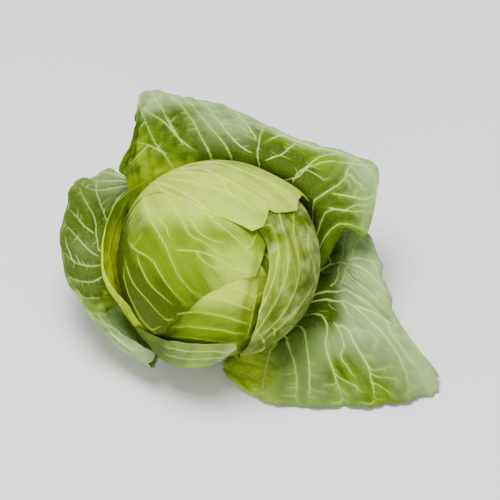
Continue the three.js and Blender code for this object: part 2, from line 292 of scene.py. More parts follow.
PACKED_LEAVES = {
    "head_leaf_front": dict(
        layer=LAYER["front"],
        azimuth=-95,
        press=1.4,
        widths=[(0, 6, -6), (0.25, 34, -38), (0.55, 42, -46), (0.8, 42, -42), (1, 30, -26)],
        tips=[(-46, 134), (42, 140)],
        swollen=True,
    ),
    "head_leaf_left": dict(
        layer=LAYER["left"],
        azimuth=180,
        press=1.0,
        widths=[
            (0, 6, -6), (0.17, 38, -30), (0.33, 60, -38), (0.5, 67, -40), (0.62, 68, -36),
            (0.75, 64, -22), (0.86, 58, -6), (0.93, 52, 6), (1, 47, 14),
        ],
        tips=[(-40, 205), (0, 212), (50, 216), (68, 208)],
        settle=1.0,
        swollen=True,
    ),
    "head_leaf_right": dict(
        layer=LAYER["right"],
        azimuth=-30,
        widths=[
            (0, 6, -6), (0.2, 30, -32), (0.34, 48, -42), (0.55, 60, -41), (0.7, 60, -35),
            (0.78, 58, -28), (0.85, 55, -17), (0.93, 48, -9), (1, 38, -6),
        ],
        tips=[(-43, 148), (-5, 151), (10, 158), (36, 158), (60, 146)],
        lift=lambda across, v: 1.5
        * smoothstep(v, 0.3, 0.5)
        * (1 - smoothstep(v, 0.78, 0.9))
        * smoothstep(-across, 4, 28),
    ),
    "head_leaf_top": dict(
        layer=LAYER["top"],
        azimuth=142,
        widths=[
            (0, 6, -6), (0.18, 26, -40), (0.38, 26, -56), (0.54, 12, -60), (0.66, 11, -62),
            (0.79, 15, -62), (0.88, 14, -61), (1, 7, -57),
        ],
        tips=[
            (-60, 221), (-54, 226), (-46, 216), (-36, 216), (-32, 218), (-28, 220), (-20, 216),
            (-13, 212), (-11, 208), (-6, 211), (0, 213), (6, 211), (26, 206),
        ],
        lift=lambda across, v: 4.5 * smoothstep(v, 0.8, 1) * smoothstep(-across, 8, 55),
        settle=2.6,
    ),
}

COLLAR_HUG = 2.0
COLLAR_LEAF = dict(
    layer=LAYER["collar"],
    azimuth=180,
    widths=[(0, 6, -6), (0.3, 26, -16), (0.6, 40, -26), (1, 46, -32)],
    tips=[(-32, 128), (-23, 118), (-4, 109), (11, 103), (24, 94), (34, 86), (40, 76), (46, 62)],
    lift=lambda across, v: 9.0 * smoothstep(v, 0.7, 1) * (1 - smoothstep(abs(across + 1), 15, 37))
    - COLLAR_HUG * smoothstep(v, 0.6, 0.9) * smoothstep(across, 18, 34),
)

FRONT_STAND_OFF = [(-33, 0), (-24, 1), (-14, 5.5), (-8, 6), (4, 2), (15, -2), (28, -2.5)]
FRONT_LEAN = [(-33, 2), (-24, 3.2), (-14, 7), (-6, 7), (4, 3), (14, 0)]
FRONT_WRAPPER = dict(
    layer=LAYER["bract"],
    azimuth=-108,
    widths=[(0, 6, -6), (0.35, 8, -24), (0.6, 12, -33), (0.8, 22, -35), (0.92, 28, -33), (1, 28, -31)],
    tips=[(-35, 72), (-21, 77), (-11, 80), (-4, 83), (7, 85), (19, 85), (25, 84), (29, 82)],
    lift=lambda across, v: graph(FRONT_STAND_OFF, across) * smoothstep(v, 0.2, 0.6)
    - graph(FRONT_LEAN, across) * smoothstep(v, 0.6, 1),
)

OPEN_WRAPPERS = {
    "back_wrapper": dict(
        layer=LAYER["inner_wrapper"],
        azimuth=77,
        clasp=[
            (144, 80), (129, 83), (109, 84), (89, 84), (67, 84), (46, 84), (31, 82), (23, 76), (12, 68),
        ],
        net=[
            [(-74, 53, 127), (-56, 68, 118), (-27, 80, 122), (2, 82, 125), (32, 75, 128),
             (59, 62, 123), (77, 47, 116), (87, 38, 110), (103, 23, 101)],
            [(-81, 58, 137), (-59, 80, 140), (-31, 90, 142), (2, 95, 140), (35, 87, 136),
             (67, 74, 130), (96, 61, 123), (109, 46, 114), (118, 15, 100)],
            [(-71, 70, 154), (-60, 95, 160), (-31, 104, 157), (2, 107, 147), (36, 100, 139),
             (72, 85, 132), (103, 77, 126), (120, 58, 119), (127, 37, 108)],
            [(-66, 88, 168), (-60, 112, 172), (-31, 114, 165), (2, 116, 154), (36, 107, 142),
             (72, 93, 134), (103, 88, 128), (128, 78, 123), (130, 59, 115)],
            [(-69, 98, 150), (-59, 128, 148), (-30, 131, 140), (2, 133, 129), (37, 122, 119),
             (73, 106, 112), (104, 99, 108), (129, 86, 104), (129, 63, 102)],
        ],
    ),
    "right_wrapper": dict(
        layer=LAYER["outer_wrapper"],
        azimuth=-10,
        clasp=[(34, 64), (27, 54), (17, 46), (8, 42), (-1, 40), (-9, 37), (-27, 29), (-52, 19)],
        net=[
            [(94, 64, 68), (94, 48, 48), (95, 29, 38), (94, 13, 34), (89, -1, 31), (78, -12, 27),
             (53, -27, 20), (18, -25, 10)],
            [(110, 55, 75), (113, 24, 64), (117, 3, 53), (121, -20, 41), (109, -39, 28),
             (87, -46, 21), (49, -49, 12), (7, -28, 6)],
            [(126, 46, 72), (134, 11, 60), (143, -20, 46), (156, -37, 27), (132, -62, 14),
             (93, -63, 9), (45, -63, 6), (3, -38, 4)],
            [(128, 58, 44), (135, 25, 27), (147, -8, 15), (182, -60, 4), (143, -80, 4),
             (96, -83, 4), (41, -78, 4), (4, -49, 4)],
        ],
    ),
    "left_wrapper": dict(
        layer=LAYER["outer_wrapper"],
        azimuth=175,
        clasp=[
            (215, 24), (201, 34), (188, 46), (183, 60), (173, 66), (162, 70), (150, 74), (141, 80),
            (136, 86),
        ],
        net=[
            [(-46, -32, 16), (-66, -25, 28), (-87, -12, 42), (-92, -8, 67), (-94, 11, 77),
             (-92, 29, 85), (-86, 49, 95), (-75, 60, 105), (-67, 65, 114)],
            [(-49, -45, 18), (-73, -36, 32), (-94, -22, 48), (-100, -12, 68), (-104, 8, 80),
             (-101, 28, 90), (-96, 49, 102), (-85, 63, 110), (-75, 70, 116)],
            [(-52, -59, 25), (-85, -40, 38), (-104, -24, 53), (-109, -8, 67), (-114, 11, 82),
             (-111, 32, 93), (-107, 52, 108), (-95, 66, 113), (-83, 74, 118)],
            [(-53, -65, 33), (-85, -43, 45), (-106, -25, 58), (-118, -1, 66), (-124, 19, 81),
             (-121, 45, 93), (-114, 64, 110), (-100, 72, 113), (-87, 80, 117)],
            [(-49, -57, 42), (-73, -49, 52), (-97, -36, 60), (-124, 3, 64), (-130, 27, 79),
             (-128, 54, 91), (-120, 73, 107), (-103, 77, 112), (-89, 82, 116)],
        ],
    ),
}
RUFFLES = {
    "back_wrapper": dict(seed=11, rim_lobes=6, side_lobes=4, depth=0.014, waves=0, height=0),
    "right_wrapper": dict(seed=12, rim_lobes=10, side_lobes=3, depth=0.03, waves=9, height=1.5),
    "left_wrapper": dict(seed=13, rim_lobes=9, side_lobes=3, depth=0.025, waves=5, height=1.0),
}

# Size in mm of the cells of each leaf's mesh
CELL = {"packed": 1.15, "collar": 1.3, "front": 1.0, "open": 1.17}

# Half-widths in mm of the main veins, low down and at the rim, and the share of the way up at
# which each open wrapper's side veins start
COURSE_WIDTHS = {
    "back_wrapper": (0.95, 0.4),
    "right_wrapper": (1.35, 0.5),
    "left_wrapper": (0.8, 0.35),
    "head_leaf_front": (0.8, 0.45),
    "head_leaf_left": (0.8, 0.45),
    "head_leaf_right": (0.8, 0.45),
    "head_leaf_top": (1.15, 0.7),
    "collar_leaf": (0.9, 0.65),
    "front_wrapper": (1.1, 0.7),
}
GROWN_FROM = {"back_wrapper": 0.5, "right_wrapper": 0.46, "left_wrapper": 0.46}

# Courses of the main veins, in pixels of the 500-pixel view, each from its root outwards
VEINS = {
    "back_wrapper": [
        [(259, 166), (257, 152), (259, 138), (263, 129)],
        [(256, 155), (240, 147), (226, 132), (211, 112)],
        [(257, 143), (250, 130), (238, 115)],
        [(211, 157), (201, 138), (192, 120), (178, 103)],
        [(198, 155), (180, 139), (161, 120), (145, 111)],
        [(168, 160), (156, 145), (145, 122)],
        [(170, 156), (150, 146), (134, 142)],
        [(186, 150), (172, 128), (158, 104)],
        [(232, 158), (222, 142), (196, 112)],
        [(300, 172), (318, 158), (336, 154)],
        [(344, 212), (352, 206), (366, 205)],
        [(261, 162), (280, 155), (296, 143)],
        [(261, 146), (278, 136), (290, 139)],
        [(277, 181), (298, 178), (308, 167), (331, 162), (373, 167)],
        [(319, 197), (342, 181), (347, 171), (352, 163)],
        [(325, 192), (361, 199), (373, 197)],
        [(326, 208), (340, 210), (364, 211)],
        [(336, 225), (347, 224), (368, 231)],
    ],
    "right_wrapper": [
        [(334, 302), (346, 302), (363, 315), (390, 343), (404, 369), (409, 388)],
        [(335, 293), (346, 290), (369, 305), (384, 319), (393, 338), (420, 372)],
        [(353, 265), (366, 271), (384, 290), (393, 305)],
        [(350, 260), (358, 258), (372, 261)],
        [(330, 291), (340, 268), (346, 231)],
        [(338, 289), (349, 262), (359, 236)],
        [(321, 315), (327, 327), (325, 341), (328, 356), (338, 385), (342, 398)],
        [(330, 325), (346, 328), (354, 343), (368, 366), (372, 384)],
        [(303, 330), (306, 340), (309, 371), (309, 400)],
        [(286, 342), (290, 352), (296, 369), (296, 400)],
        [(270, 348), (266, 366), (262, 392)],
        [(350, 305), (372, 312), (392, 324)],
    ],
    "left_wrapper": [
        [(100, 252), (97, 245), (95, 220), (88, 207), (82, 195)],
        [(112, 222), (106, 220), (104, 215), (95, 185)],
        [(102, 258), (88, 250), (76, 236), (66, 226)],
        [(104, 266), (90, 266), (74, 262), (62, 250)],
        [(107, 276), (92, 282), (76, 280), (68, 276)],
        [(112, 290), (98, 298), (84, 298)],
        [(120, 304), (106, 314), (94, 314)],
        [(131, 186), (119, 187), (106, 190)],
        [(130, 184), (120, 181), (104, 182)],
        [(131, 188), (120, 196), (112, 208), (107, 222)],
        [(127, 180), (116, 175), (104, 173)],
        [(96, 236), (84, 226), (70, 210)],
    ],
    "head_leaf_top": [
        [(150, 182), (164, 185), (187, 194), (208, 209), (231, 225)],
        [(155, 180), (178, 173), (219, 176), (227, 188), (240, 200)],
        [(160, 176), (208, 162), (240, 170), (274, 184), (296, 197)],
        [(158, 180), (196, 182), (236, 196), (262, 214)],
        [(170, 172), (200, 168), (232, 182), (268, 203)],
        [(152, 184), (176, 200), (196, 205), (222, 216)],
    ],
    "head_leaf_left": [
        [(144, 190), (146, 207), (155, 226), (165, 242), (171, 257), (180, 275), (192, 290), (206, 298)],
        [(164, 188), (172, 207), (182, 218), (191, 235), (205, 242), (217, 252), (231, 260)],
        [(187, 212), (200, 232), (214, 240), (227, 244)],
        [(172, 250), (187, 250), (205, 252), (222, 260), (237, 270), (258, 274)],
        [(127, 236), (135, 249), (145, 254), (156, 262), (163, 277), (173, 290), (188, 306)],
        [(137, 252), (142, 267), (152, 284), (165, 297), (178, 307)],
        [(125, 256), (132, 278), (142, 292), (155, 307), (170, 322)],
        [(124, 266), (127, 285), (135, 305), (148, 325), (163, 338)],
        [(176, 196), (198, 206), (222, 226), (244, 244), (260, 262)],
        [(158, 218), (166, 226), (170, 240)],
        [(196, 250), (206, 262), (222, 272)],
    ],
    "head_leaf_front": [
        [(255, 326), (235, 318), (210, 313), (186, 312), (166, 318)],
        [(250, 335), (225, 330), (195, 326), (170, 327)],
        [(243, 343), (220, 341), (195, 338), (168, 336)],
        [(257, 312), (240, 305), (222, 300), (205, 298)],
        [(258, 299), (246, 292), (230, 288)],
        [(247, 341), (252, 320), (256, 300), (258, 280)],
    ],
    "head_leaf_right": [
        [(241, 349), (252, 326), (271, 289), (280, 253), (272, 223)],
        [(253, 345), (281, 316), (296, 289), (300, 264), (294, 229)],
        [(252, 348), (288, 319), (311, 289), (315, 272), (308, 245)],
        [(243, 348), (256, 312), (264, 284), (268, 256)],
        [(246, 347), (266, 318), (284, 286), (290, 256), (284, 226)],
    ],
    "collar_leaf": [
        [(120, 286), (110, 262), (112, 236), (122, 210)],
        [(124, 298), (108, 282), (104, 262)],
    ],
    "front_wrapper": [
        [(236, 352), (214, 350), (186, 350), (160, 344)],
        [(236, 355), (212, 357), (186, 358), (162, 352)],
        [(232, 358), (208, 364), (184, 365)],
    ],
}


# Veins. Lengths are in mm and FOOT_PLACE is the (u, v) that they come from. Of the places that
# a pixel may show, DEPTH_PENALTY, in pixels a mm, picks the one nearest the eye.

SAMPLES = (141, 121)
DEPTH_PENALTY = 0.05
FOOT_PLACE = np.array([0.5, 0.1])
PLACES_PER_TURN = 6
LED_TO_FOOT_BEYOND = 9
RIM_STEP, RIM_STEPS, RIM_TURN = 3.0, 40, 0.03

# Side veins: the length of a step, how far off and how near a goal counts, how strongly a twig
# keeps its direction, how much of it has to point away from the foot, and the widths
TWIG_STEP = 2.0
GOAL_SEEN, GOAL_REACHED = 45.0, 2.6
GOAL_SHARES = (0.06, 0.2, 0.5)
GROWTH_ROUNDS = 60
TWIG_INERTIA = 1.1
TWIG_OUTWARDS = 0.15
TWIG_WIDTH, WIDEST_TWIG = 0.34, 0.75

# The height of a vein is felt from beads along it
BEAD_SPACING = 0.6
BEADS_FELT = 5
FULL_HEIGHT_WIDTH = 0.8


class Venation:
    """The veins of one leaf: pieces of vein on its surface, each with a half-width in mm."""

    def __init__(self, surface, seed):
        self.surface = surface
        self.rng = np.random.default_rng(seed)
        u, v = np.meshgrid(np.linspace(0, 1, SAMPLES[0]), np.linspace(0.02, 1, SAMPLES[1]))
        points = surface(u, v)
        self.u, self.v = u.ravel(), v.ravel()
        self.widths_up = np.linalg.norm(np.diff(points, axis=1), axis=-1).sum(1)
        self.levels = v[:, 0]
        self.width = self.widths_up.max()
        self.length = np.linalg.norm(np.diff(points, axis=0), axis=-1).sum(0).mean()
        self.pixels = photo_pixels(points.reshape(-1, 3))
        self.starts, self.ends, self.widths = [], [], []

    def flat(self, places):
        """Places (u, v) laid out flat in mm, with the leaf's own width at each height."""
        places = np.asarray(places, float)
        width = np.interp(places[..., 1], self.levels, self.widths_up)
        return np.stack([(places[..., 0] - 0.5) * width, places[..., 1] * self.length], -1)

    def unflat(self, points):
        points = np.asarray(points, float)
        v = points[..., 1] / self.length
        width = np.interp(v, self.levels, self.widths_up)
        return np.stack([np.clip(points[..., 0] / width + 0.5, 0, 1), np.clip(v, 0, 1)], -1)

    def place(self, pixel):
        """(u, v) of the nearest point of the surface that the view shows at this pixel."""
        x, y, depth = self.pixels
        miss = np.hypot(x - pixel[0], y - pixel[1]) + DEPTH_PENALTY * (depth - depth.min())
        k = int(np.argmin(miss))
        return np.array([self.u[k], self.v[k]])

    def add_line(self, line, thick, thin):
        """Pieces along a line of places, narrowing from thick to thin and at both its ends."""
        steps = len(line) - 1
        for k in range(steps):
            self.starts.append(line[k])
            self.ends.append(line[k + 1])
            taper = smoothstep(k / steps, -0.05, 0.15) * (1 - 0.6 * smoothstep(k / steps, 0.8, 1))
            self.widths.append((thick + (thin - thick) * k / steps) * taper)

    def add_course(self, pixels, thick, thin, to_foot=False, to_rim=False):
        """A main vein along a course of pixels, led on to the foot and the rim where asked."""
        t = np.linspace(0, 1, PLACES_PER_TURN * len(pixels))
        raw = [self.place(pixel) for pixel in curve(pixels, t)]
        nearby = [raw[max(0, k - 2):k + 3] for k in range(len(raw))]
        line = [sum(places) / len(places) for places in nearby]
        if self.starts and to_foot:
            gaps = np.linalg.norm(self.flat(self.starts) - self.flat(line[0]), axis=1)
            to_foot = gaps.min() > LED_TO_FOOT_BEYOND
        if to_foot:
            first = line[0]
            bend = np.array([0.25 * FOOT_PLACE[0] + 0.75 * first[0], 0.55 * first[1]])
            line = list(curve([FOOT_PLACE, bend, first], np.linspace(0, 1, 12)))[:-1] + line
        if to_rim:
            line += self.way_to_rim(line)
        self.add_line(line, thick, thin)

    def way_to_rim(self, line):
        """Places that carry a line on in its own direction, turning a little, up to the rim."""
        onward = self.flat(line[-1]) - self.flat(line[-6])
        onward /= np.linalg.norm(onward) + 1e-9
        turn = self.rng.uniform(-RIM_TURN, RIM_TURN)
        c, s = math.cos(turn), math.sin(turn)
        here = self.flat(line[-1])
        way = []
        for _ in range(RIM_STEPS):
            onward = np.array([onward[0] * c - onward[1] * s, onward[0] * s + onward[1] * c])
            here = here + RIM_STEP * onward
            place = self.unflat(here)
            if not (0.02 < place[0] < 0.98 and 0.0 < place[1] < 0.97):
                break
            way.append(place)
        return way

    def grow(self, spacing, lowest=0.12, side=0.48, least=5.2):
        """Side veins grown from the main ones towards scattered goals, as they do in a leaf:
        first to a few goals far apart, then to more and more between them. `lowest` and `side`
        bound the goals, as shares of the leaf, and none is nearer a vein than `least` mm."""
        starts, ends, foot = self.flat(self.starts), self.flat(self.ends), self.flat(FOOT_PLACE)
        nodes = np.concatenate([starts, ends])
        ahead = np.concatenate([ends - starts] * 2)
        ahead /= np.linalg.norm(ahead, axis=1, keepdims=True) + 1e-9
        parents = [-1] * len(nodes)
        first_new = len(nodes)
        low, high = lowest * self.length, 0.985 * self.length
        count = int(self.width * (high - low) / spacing**2)
        goals = self.rng.uniform([-self.width / 2, low], [self.width / 2, high], (count, 2))
        room = np.interp(goals[:, 1] / self.length, self.levels, self.widths_up)
        goals = goals[np.abs(goals[:, 0]) < side * room]
        shares = [int(len(goals) * share) for share in GOAL_SHARES]
        for batch in np.split(goals, shares):
            gap = np.linalg.norm(batch[:, None] - nodes[None], axis=-1)
            batch = batch[gap.min(1) > least]
            for _ in range(GROWTH_ROUNDS):
                gap = np.linalg.norm(batch[:, None] - nodes[None], axis=-1)
                nearest, distance = gap.argmin(1), gap.min(1)
                kept = distance > GOAL_REACHED
                batch, nearest, distance = batch[kept], nearest[kept], distance[kept]
                fresh, turned = [], []
                for k in np.unique(nearest[distance < GOAL_SEEN]):
                    outward = nodes[k] - foot
                    pull = batch[nearest == k] - nodes[k]
                    pull = (pull / np.linalg.norm(pull, axis=1, keepdims=True)).mean(0)
                    onward = pull + TWIG_INERTIA * ahead[k]
                    onward /= np.linalg.norm(onward) + 1e-9
                    if onward @ outward < TWIG_OUTWARDS * np.linalg.norm(outward):
                        continue
                    fresh.append(nodes[k] + TWIG_STEP * onward)
                    turned.append(onward)
                    parents.append(k)
                if not fresh:
                    break
                nodes = np.concatenate([nodes, fresh])
                ahead = np.concatenate([ahead, turned])
        weight = np.ones(len(nodes))
        for k in range(len(nodes) - 1, first_new - 1, -1):
            weight[parents[k]] += weight[k]
        for k in range(first_new, len(nodes)):
            self.starts.append(self.unflat(nodes[parents[k]]))
            self.ends.append(self.unflat(nodes[k]))
            self.widths.append(min(WIDEST_TWIG, TWIG_WIDTH * weight[k] ** 0.25))

    def measure(self, points, least):
        """How high the vein stands at each point, 0 to 1, and how far the nearest vein is.
        Veins count as at least `least` mm wide, so that the mesh can show them."""
        beads, widths = [], []
        for a, b, width in zip(self.on_surface(self.starts), self.on_surface(self.ends), self.widths):
            steps = max(1, int(np.linalg.norm(b - a) / BEAD_SPACING))
            beads.append(a + (b - a) * (np.arange(steps)[:, None] + 0.5) / steps)
            widths += [width] * steps
        beads = np.concatenate(beads)
        widths = np.array(widths)
        tree = KDTree(len(beads))
        for k, bead in enumerate(beads):
            tree.insert(bead, k)
        tree.balance()
        found = [tree.find_n(point, BEADS_FELT) for point in points.reshape(-1, 3)]
        gap = np.array([[near[2] for near in row] for row in found])
        width = widths[np.array([[near[1] for near in row] for row in found])]
        strength = np.minimum(1.0, width / FULL_HEIGHT_WIDTH)
        height = (strength * np.exp(-((gap / np.maximum(width, least)) ** 2))).max(1)
        return height.reshape(points.shape[:-1]), gap[:, 0].reshape(points.shape[:-1])

    def on_surface(self, places):
        places = np.array(places)
        return self.surface(places[:, 0], places[:, 1])


# Meshes


def grid_normals(points):
    """Unit normals of a grid of points, on the side of the leaf's outer face."""
    across = np.gradient(points, axis=1)
    along = np.gradient(points, axis=0)
    outward = np.cross(along, across)
    return outward / (np.linalg.norm(outward, axis=-1, keepdims=True) + 1e-12)


def new_piece(name, vertices, faces, attributes):
    """An object at the origin, of vertices in mm and four-sided faces, with values a vertex."""
    mesh = bpy.data.meshes.new(name)
    mesh.vertices.add(len(vertices))
    mesh.vertices.foreach_set("co", (vertices * MM).astype(np.float32).ravel())
    mesh.loops.add(faces.size)
    mesh.loops.foreach_set("vertex_index", faces.astype(np.int32).ravel())
    mesh.polygons.add(len(faces))
    mesh.polygons.foreach_set("loop_start", np.arange(0, faces.size, 4, dtype=np.int32))
    mesh.polygons.foreach_set("use_smooth", np.ones(len(faces), bool))
    mesh.update(calc_edges=True)
    for label, values in attributes.items():
        layer = mesh.attributes.new(label, "FLOAT", "POINT")
        layer.data.foreach_set("value", values.astype(np.float32).ravel())
    mesh.validate()
    piece = bpy.data.objects.new(name, mesh)
    bpy.context.scene.collection.objects.link(piece)
    return piece


def shell(name, outer, inner, attributes):
    """A closed leaf between two grids of points, with values for one grid or for both."""
    rows, columns = outer.shape[:2]
    count = rows * columns
    place = np.arange(count).reshape(rows, columns)
    a, b = place[:-1, :-1], place[1:, :-1]
    c, d = place[1:, 1:], place[:-1, 1:]
    face = np.stack([a, b, c, d], -1).reshape(-1, 4)
    back = np.stack([a, d, c, b], -1).reshape(-1, 4) + count
    rim = np.concatenate([place[0, :-1], place[:-1, -1], place[-1, :0:-1], place[:0:-1, 0]])
    after = np.roll(rim, -1)
    edge = np.stack([rim, after, after + count, rim + count], -1)
    vertices = np.concatenate([outer.reshape(-1, 3), inner.reshape(-1, 3)])
    both = {label: np.broadcast_to(x, (2, rows, columns)) for label, x in attributes.items()}
    return new_piece(name, vertices, np.concatenate([face, back, edge]), both)


def turned_piece(name, points, attributes):
    """A closed piece from rings of points, foot to top, with an even number in each ring."""
    rows, columns = points.shape[:2]
    place = np.arange(rows * columns).reshape(rows, columns)
    after = np.roll(place, -1, axis=1)
    sides = np.stack([place[:-1], after[:-1], after[1:], place[1:]], -1).reshape(-1, 4)
    caps = []
    for ring, turn in ((place[0], -1), (place[-1], 1)):
        middle = np.full(columns // 2, rows * columns + len(caps))
        ring = ring[::turn]
        caps.append(np.stack([middle, ring[::2], ring[1::2], np.roll(ring[::2], -1)], -1))
    vertices = np.concatenate([points.reshape(-1, 3), [points[0].mean(0), points[-1].mean(0)]])
    capped = {label: np.append(x.ravel(), [x[0].mean(), x[-1].mean()]) for label, x in attributes.items()}
    return new_piece(name, vertices, np.concatenate([sides, *caps]), capped)


def margin_distance(points):
    """Distance of each grid point from the leaf's own sides and tip, in mm."""
    across = np.linalg.norm(np.diff(points, axis=1), axis=-1)
    along = np.linalg.norm(np.diff(points, axis=0), axis=-1)
    left = np.concatenate([np.zeros((len(points), 1)), across.cumsum(1)], 1)
    up = np.concatenate([np.zeros((1, points.shape[1])), along.cumsum(0)], 0)
    return np.minimum(np.minimum(left, left[:, -1:] - left), up[-1:] - up)


MARGIN = 4.0  # mm from the margin over which the blade thickens and swells
MARGIN_THICKNESS = 0.35  # of the blade, at the margin itself
PUFF_REACH = 5.0  # mm from a vein to the top of the swelling beside it
LEAST_VEIN = 0.65  # of a cell, so that the mesh can show the vein
CRINKLE_LENGTH = 26
STREAK_WIDTH, STREAK_STRETCH = 16, 0.14
GAP_SHOWN, EDGE_SHOWN = 10, 30  # mm at which these masks reach 1


def leaf_piece(name, surface, cell, blade, veins, seed, relief, puff, crinkle, grain=None):
    """One leaf: veins standing out on the outer face, the blade puffed up between them. `cell`
    is the size of the mesh's cells in mm, and `grain` a direction that its streaks run in."""
    columns, rows = (int(side / cell) + 1 for side in (veins.width, veins.length))
    u, v = np.meshgrid(np.linspace(0, 1, columns), np.linspace(0, 1, rows))
    middle = surface(u, v)
    outward = grid_normals(middle)
    height, distance = veins.measure(middle, LEAST_VEIN * cell)
    edge = margin_distance(middle)
    clear = smoothstep(v, 0.1, 0.3)
    full = smoothstep(edge, 0, MARGIN)
    swell = -puff * smoothstep(distance, 0.3, PUFF_REACH) * clear * full
    x, y = u * veins.width, v * veins.length
    swell += crinkle * ripple(x, y, seed, CRINKLE_LENGTH) * clear
    middle = middle + outward * swell[..., None]
    outward = grid_normals(middle)
    half = blade / 2 * (MARGIN_THICKNESS + (1 - MARGIN_THICKNESS) * full)
    outer = middle + outward * (half + relief * height * smoothstep(edge, 0, 3))[..., None]
    inner = middle - outward * half[..., None]
    if grain is not None:
        beside = np.cross(grain, VIEW_FORWARD)
        x, y = middle @ beside, middle @ grain
    streak = 0.5 + 0.5 * ripple(x, STREAK_STRETCH * y, seed + 5, STREAK_WIDTH, 4)
    places = LeafPlaces(np.stack([outer, inner]), veins, v, u, np.clip(edge / EDGE_SHOWN, 0, 1))
    masks = {label: np.clip(mask(places), 0, 1) for label, mask in MASKS[name].items()}
    masks |= {"vein": height, "gap": np.clip(distance / GAP_SHOWN, 0, 1), "streak": np.clip(streak, 0, 1)}
    return shell(name + "_fine", outer, inner, masks)


# Shader expressions


def arithmetic(operation, reflected=False):
    """A Python operator that adds a Math node, its terms swapped where it is reflected."""

    def operator(self, other):
        terms = (other, self) if reflected else (self, other)
        return self.shader.node("ShaderNodeMath", {"operation": operation}, dict(enumerate(terms)))

    return operator


class Value:
    """A shader socket that Python arithmetic adds Math nodes to."""

    __add__, __radd__ = arithmetic("ADD"), arithmetic("ADD", reflected=True)
    __sub__, __rsub__ = arithmetic("SUBTRACT"), arithmetic("SUBTRACT", reflected=True)
    __mul__, __rmul__ = arithmetic("MULTIPLY"), arithmetic("MULTIPLY", reflected=True)

    def __init__(self, shader, socket):
        self.shader = shader
        self.socket = socket

    def clamped(self):
        return self.shader.node("ShaderNodeClamp", {}, {0: self})


class Shader:
    """The node tree of one material."""

    def __init__(self, name):
        self.material = bpy.data.materials.new(name)
        self.material.use_nodes = True
        self.tree = self.material.node_tree
        self.tree.nodes.clear()

    def node(self, kind, settings, inputs, output=0):
        made = self.tree.nodes.new(kind)
        for key, value in settings.items():
            setattr(made, key, value)
        for key, value in inputs.items():
            socket = made.inputs[key]
            if isinstance(value, Value):
                self.tree.links.new(value.socket, socket)
            else:
                socket.default_value = value
        return Value(self, made.outputs[output]) if made.outputs else None

    def mask(self, label):
        return self.node("ShaderNodeAttribute", {"attribute_name": label}, {}, "Fac")

    def texture(self, kind, settings, size_mm, inputs, output):
        place = self.node("ShaderNodeTexCoord", {}, {}, "Object")
        inputs = {"Vector": place, "Scale": 1 / (size_mm * MM), **inputs}
        return self.node(kind, settings, inputs, output)

    def noise(self, size_mm, detail=3.0, distortion=0.0):
        inputs = {"Detail": detail, "Distortion": distortion}
        return self.texture("ShaderNodeTexNoise", {}, size_mm, inputs, "Fac")

    def cells(self, size_mm):
        """Distance from the edges of cells of this size, about 0 on an edge to 0.5."""
        settings = {"feature": "DISTANCE_TO_EDGE"}
        return self.texture("ShaderNodeTexVoronoi", settings, size_mm, {}, "Distance")

    def ramp(self, value, low, high):
        settings = {"interpolation_type": "SMOOTHSTEP"}
        return self.node("ShaderNodeMapRange", settings, {"Value": value, "From Min": low, "From Max": high})

    def blend(self, first, second, factor):
        settings = {"data_type": "RGBA"}
        return self.node("ShaderNodeMix", settings, {0: factor, 6: first, 7: second}, 2)

    def finish(self, colour, roughness, height, bump, constants):
        bumps = {"Height": height, "Distance": bump * MM, "Strength": 1.0}
        normal = self.node("ShaderNodeBump", {}, bumps, "Normal")
        inputs = {"Base Color": colour, "Roughness": roughness, "Normal": normal, **constants}
        surface = self.node("ShaderNodeBsdfPrincipled", {}, inputs, "BSDF")
        self.node("ShaderNodeOutputMaterial", {}, {"Surface": surface})
        return self.material


def rgba(colour):
    return (*colour, 1.0)


def leaf_material(name, tones, waxy, patchy, between, vein_strength):
    """Green blade, deeper between the veins and darker in painted shade, with pale veins, a fine net and a
    waxy bloom.
    """
    shader = Shader(name)
    cloud = shader.ramp(shader.noise(30, 3, 0.4), 0.36, 0.64)
    patch = shader.ramp(shader.noise(14, 4, 0.6), 0.4, 0.62)
    speckle = shader.noise(2.2, 2)
    net = 1 - shader.ramp(shader.cells(3.0), 0.02, 0.14)
    vein = shader.mask("vein")
    gold = shader.mask("gold") * (1 - shader.mask("shade"))
    streak = shader.mask("streak")
    away = shader.ramp(shader.mask("gap"), 0.03, 0.4)
    # Partly the leaf's deeper green, partly painted shade: the shade mask draws the blade to the deep tone
    # in folds, gaps and low places
    shade_and_deep_green = shader.mask("shade") * (0.8 + 0.4 * cloud) + away * between * (0.6 + 0.8 * cloud)
    shade_and_deep_green = shade_and_deep_green + 0.4 * (streak - 0.5)
    colour = shader.blend(rgba(tones.blade), rgba(tones.deep), shade_and_deep_green.clamped())
    golden = gold * (0.85 + 0.3 * cloud) - 0.3 * (streak - 0.45)
    colour = shader.blend(colour, rgba(tones.gold), (golden * shader.ramp(gold, 0.0, 0.2)).clamped())
    wax = shader.mask("wax") * (1.1 - patchy + patchy * patch - 0.3 * between * away) * (1 - 0.6 * gold)
    colour = shader.blend(colour, rgba(tones.bloom), (wax * waxy).clamped())
    fine = net * 0.15 * between + (speckle - 0.5) * 0.15
    colour = shader.blend(colour, rgba(tones.gold), fine.clamped())
    line = shader.ramp(vein, 0.15, 0.85) * vein_strength * (1 - 0.1 * gold)
    colour = shader.blend(colour, rgba(tones.vein), line.clamped())
    roughness = 0.5 + 0.16 * shader.noise(12) + 0.08 * wax
    height = vein * 0.6 + net * 0.06 + shader.noise(5, 4) * 0.4 + streak * 0.4
    constants = {
        "Subsurface Weight": 0.4,
        "Subsurface Radius": (0.7, 1.0, 0.15),
        "Subsurface Scale": 1.6 * MM,
        "Specular IOR Level": 0.06,
    }
    return shader.finish(colour, roughness, height, 1.0, constants)


